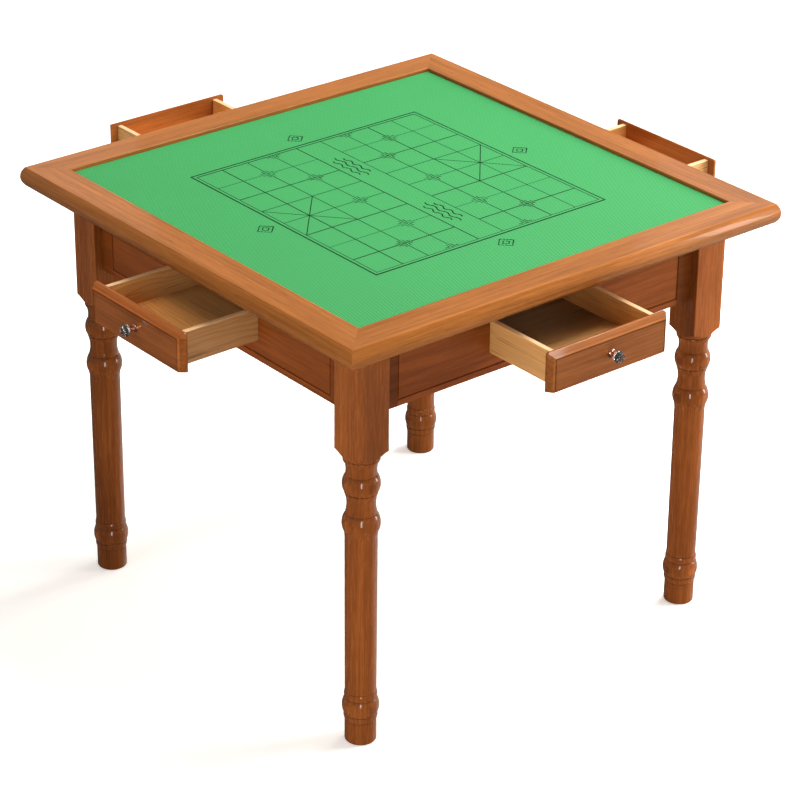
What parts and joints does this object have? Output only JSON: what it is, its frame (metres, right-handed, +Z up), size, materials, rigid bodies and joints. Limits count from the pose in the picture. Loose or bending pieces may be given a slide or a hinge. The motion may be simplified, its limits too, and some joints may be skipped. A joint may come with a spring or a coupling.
{
  "type": "mahjong table",
  "caption": "Square mahjong table with a mitred bullnose top, inset cloth playing mat, turned legs, and lipped drawers with crystal knobs that slide out on every side.",
  "frame": {"origin": "on the floor, in the middle of the space that the table takes up with its drawers as they stand open at rest; the middle of the square top is 51 mm towards -X and 72 mm towards -Y of it", "axes": "+Z up, -Y out of the front drawer, +X out of the right drawer"},
  "size_m": [1.212, 1.254, 0.76],
  "materials": {
    "top_frame_wood": "satin lacquer",
    "apron_wood": "gloss lacquer",
    "panel_board": "plain plywood",
    "mat_cloth": "fine ribbed cloth",
    "leg_wood": "gloss lacquer",
    "plain_wood": "unfinished softwood",
    "bolt_steel": "zinc plated",
    "drawer_front_wood": "satin lacquer",
    "drawer_pine": "unfinished pine",
    "knob_metal": "polished",
    "knob_crystal": "cut and polished"
  },
  "bodies": {
    "table_frame": {"top_rail_front": "top_frame_wood", "apron_front": "apron_wood", "top_rail_right": "top_frame_wood", "apron_right": "apron_wood", "top_rail_back": "top_frame_wood", "apron_back": "apron_wood", "top_rail_left": "top_frame_wood", "apron_left": "apron_wood", "core_panel": "panel_board", "playing_mat": "mat_cloth", "leg_front_left": "leg_wood", "corner_block_front_left": "plain_wood", "leg_front_right": "leg_wood", "corner_block_front_right": "plain_wood", "leg_back_right": "leg_wood", "corner_block_back_right": "plain_wood", "leg_back_left": "leg_wood", "corner_block_back_left": "plain_wood", "leg_bolts": "bolt_steel", "leg_nuts": "bolt_steel", "runner_long_right": "plain_wood", "runner_long_left": "plain_wood", "runner_right_a": "plain_wood", "runner_right_b": "plain_wood", "runner_left_a": "plain_wood", "runner_left_b": "plain_wood", "kicker_long": "plain_wood", "kicker_right": "plain_wood", "kicker_left": "plain_wood"},
    "front_drawer": {"front_drawer_front": "drawer_front_wood", "front_drawer_side_left": "drawer_pine", "front_drawer_side_right": "drawer_pine", "front_drawer_back": "drawer_pine", "front_drawer_bottom": "drawer_pine", "front_drawer_knob_base": "knob_metal", "front_drawer_knob_crystal": "knob_crystal"},
    "right_drawer": {"right_drawer_front": "drawer_front_wood", "right_drawer_side_left": "drawer_pine", "right_drawer_side_right": "drawer_pine", "right_drawer_back": "drawer_pine", "right_drawer_bottom": "drawer_pine", "right_drawer_knob_base": "knob_metal", "right_drawer_knob_crystal": "knob_crystal"},
    "back_drawer": {"back_drawer_front": "drawer_front_wood", "back_drawer_side_left": "drawer_pine", "back_drawer_side_right": "drawer_pine", "back_drawer_back": "drawer_pine", "back_drawer_bottom": "drawer_pine", "back_drawer_knob_base": "knob_metal", "back_drawer_knob_crystal": "knob_crystal"},
    "left_drawer": {"left_drawer_front": "drawer_front_wood", "left_drawer_side_left": "drawer_pine", "left_drawer_side_right": "drawer_pine", "left_drawer_back": "drawer_pine", "left_drawer_bottom": "drawer_pine", "left_drawer_knob_base": "knob_metal", "left_drawer_knob_crystal": "knob_crystal"}
  },
  "joints": [
    {"name": "front_drawer_slide", "type": "slide", "parent": "table_frame", "child": "front_drawer", "axis": [0, -1, 0], "range_m": [-0.1457, 0.146]},
    {"name": "right_drawer_slide", "type": "slide", "parent": "table_frame", "child": "right_drawer", "axis": [1, 0, 0], "range_m": [-0.2477, 0.002]},
    {"name": "back_drawer_slide", "type": "slide", "parent": "table_frame", "child": "back_drawer", "axis": [0, 1, 0], "range_m": [-0.2897, 0.002]},
    {"name": "left_drawer_slide", "type": "slide", "parent": "table_frame", "child": "left_drawer", "axis": [-1, 0, 0], "range_m": [-0.1457, 0.104]}
  ]
}
